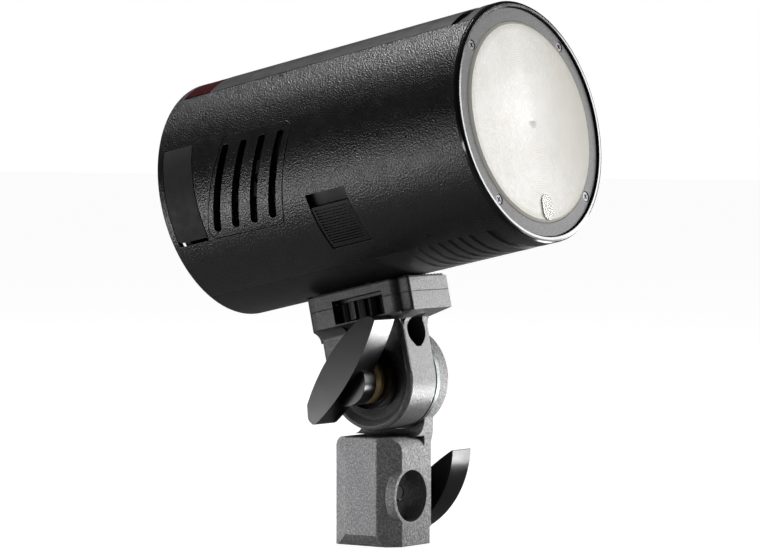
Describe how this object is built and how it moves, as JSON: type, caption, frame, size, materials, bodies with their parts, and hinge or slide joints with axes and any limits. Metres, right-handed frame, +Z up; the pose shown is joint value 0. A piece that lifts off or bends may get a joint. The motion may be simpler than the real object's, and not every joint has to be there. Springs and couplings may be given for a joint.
{
  "type": "monolight strobe",
  "caption": "Round battery strobe head with a fresnel front lens, rear controls and a slide-in battery, on a tilting bracket with sockets for a light stand.",
  "frame": {"origin": "centre of the mouth of the vertical stand socket, on the foot of the lower block", "axes": "+Z up along the stand, -Y the way the lens faces, -X the side with the power switch and the ports"},
  "size_m": [0.076, 0.1317, 0.1715],
  "materials": {
    "shell_plastic": "fine leather grain",
    "strip_plastic": "satin",
    "gloss_black": "glossy",
    "grey_ring": "fine textured",
    "cast_metal": "sand-cast texture",
    "lever_black": "satin",
    "steel": "bright",
    "dark_steel": "blackened",
    "brass": "turned",
    "washer": "pale satin",
    "rubber_black": "matte",
    "nylon": "black",
    "fresnel_glass": "pebbled fresnel",
    "clear_glass": "clear",
    "red_window": "dark red, translucent",
    "led_yellow": "phosphor",
    "mirror_metal": "mirror",
    "tube_glass": "clear",
    "ceramic_white": "unglazed",
    "coil_copper": "varnished winding",
    "board_green": "solder mask",
    "cap_sleeve": "sleeved",
    "inner_black": "moulded",
    "contact_gold": "plated",
    "display_glass": "tinted",
    "display_panel": "reflective LCD",
    "button_grey": "matte",
    "cell_blue": "shrink sleeve",
    "latch_red": "satin"
  },
  "bodies": {
    "stand_block": {"lower_block": "cast_metal", "pivot_bolt": "dark_steel", "friction_washer": "washer"},
    "clamp_pad": {"clamp_pad": "nylon"},
    "clamp_handle": {"clamp_screw": "steel", "clamp_lever": "lever_black"},
    "tilt_handle": {"tilt_lever": "lever_black", "lever_nut": "brass"},
    "head": {"yoke": "cast_metal", "top_plate": "cast_metal", "plate_pad": "rubber_black", "plate_screws": "steel", "thrust_ring": "gloss_black", "thread_insert": "brass", "left_shell": "shell_plastic", "right_shell": "shell_plastic", "top_cover": "strip_plastic", "bottom_cover": "strip_plastic", "sensor_window": "red_window", "front_bezel": "gloss_black", "lens_ring": "grey_ring", "lens_screws": "dark_steel", "front_lens": "fresnel_glass", "lens_gasket": "rubber_black", "led_window": "clear_glass", "modeling_led": "led_yellow", "reflector": "mirror_metal", "flash_tube": "tube_glass", "tube_base": "ceramic_white", "trigger_coil": "coil_copper", "power_board": "board_green", "capacitors": "cap_sleeve", "main_board": "board_green", "control_board": "board_green", "fan_frame": "inner_black", "vent_grille": "shell_plastic", "usb_port": "steel", "sync_jack": "inner_black", "switch_base": "inner_black", "rear_panel": "strip_plastic", "display_window": "display_glass", "display_module": "display_panel", "battery_bay": "inner_black", "battery_contacts": "contact_gold", "shell_screws": "dark_steel"},
    "thumbwheel": {"thumbwheel": "lever_black", "mounting_screw": "steel"},
    "fan": {"fan_rotor": "inner_black"},
    "port_cover": {"port_cover": "rubber_black"},
    "power_switch": {"switch_slider": "strip_plastic"},
    "dial": {"dial_knob": "lever_black"},
    "set_button": {"set_button": "button_grey"},
    "menu_button": {"menu_button": "button_grey"},
    "mode_button": {"mode_button": "button_grey"},
    "lamp_button": {"lamp_button": "button_grey"},
    "test_button": {"test_button": "button_grey"},
    "battery": {"battery_case": "strip_plastic", "battery_cells": "cell_blue", "battery_terminals": "inner_black"},
    "battery_latch": {"battery_latch": "latch_red"}
  },
  "joints": [
    {"name": "tilt", "type": "hinge", "parent": "stand_block", "child": "head", "pos_m": [-0.0012, -0.0017, 0.0524], "axis": [1, 0, 0], "range_deg": [-77.7, 102.3]},
    {"name": "tilt_handle_turn", "type": "hinge", "parent": "stand_block", "child": "tilt_handle", "pos_m": [-0.0192, -0.0017, 0.0524], "axis": [1, 0, 0], "range_deg": [-300, 0]},
    {"name": "clamp_travel", "type": "slide", "parent": "stand_block", "child": "clamp_pad", "axis": [-1, 0, 0], "range_m": [0, 0.005]},
    {"name": "clamp_turn", "type": "hinge", "parent": "clamp_pad", "child": "clamp_handle", "pos_m": [0.0228, 0, 0.0158], "axis": [-1, 0, 0], "range_deg": [0, 1440]},
    {"name": "thumbwheel_turn", "type": "hinge", "parent": "head", "child": "thumbwheel", "pos_m": [-0.0012, -0.00152, 0.07487], "axis": [0, 0.2125, 0.9772], "continuous": true},
    {"name": "fan_spin", "type": "hinge", "parent": "head", "child": "fan", "pos_m": [-0.0292, 0.02416, 0.1159], "axis": [1, 0, 0], "continuous": true},
    {"name": "port_cover_swing", "type": "hinge", "parent": "head", "child": "port_cover", "pos_m": [-0.03615, 0.05301, 0.12482], "axis": [0, 0.9772, -0.2125], "range_deg": [0, 110]},
    {"name": "power_slide", "type": "hinge", "parent": "head", "child": "power_switch", "pos_m": [-0.0012, -0.00379, 0.12198], "axis": [0, 0.9772, -0.2125], "range_deg": [0, 6.2]},
    {"name": "dial_turn", "type": "hinge", "parent": "head", "child": "dial", "pos_m": [-0.0102, 0.05343, 0.09521], "axis": [0, 0.9772, -0.2125], "continuous": true},
    {"name": "set_press", "type": "slide", "parent": "head", "child": "set_button", "axis": [0, -0.9772, 0.2125], "range_m": [0, 0.0007], "stiffness_N_per_m": 150, "springref_m": -0.002},
    {"name": "menu_press", "type": "slide", "parent": "head", "child": "menu_button", "axis": [0, -0.9772, 0.2125], "range_m": [0, 0.0006], "stiffness_N_per_m": 150, "springref_m": -0.002},
    {"name": "mode_press", "type": "slide", "parent": "head", "child": "mode_button", "axis": [0, -0.9772, 0.2125], "range_m": [0, 0.0006], "stiffness_N_per_m": 150, "springref_m": -0.002},
    {"name": "lamp_press", "type": "slide", "parent": "head", "child": "lamp_button", "axis": [0, -0.9772, 0.2125], "range_m": [0, 0.0006], "stiffness_N_per_m": 150, "springref_m": -0.002},
    {"name": "test_press", "type": "slide", "parent": "head", "child": "test_button", "axis": [0, -0.9772, 0.2125], "range_m": [0, 0.0006], "stiffness_N_per_m": 150, "springref_m": -0.002},
    {"name": "battery_slide", "type": "slide", "parent": "head", "child": "battery", "axis": [0, 0.9772, -0.2125], "range_m": [0, 0.085]},
    {"name": "battery_latch_slide", "type": "slide", "parent": "battery", "child": "battery_latch", "axis": [-1, 0, 0], "range_m": [0, 0.0025], "stiffness_N_per_m": 150, "springref_m": -0.003}
  ],
  "couplings": [
    {"joint": "clamp_travel", "follows": "clamp_turn", "m_per_rad": 0.00019894}
  ]
}
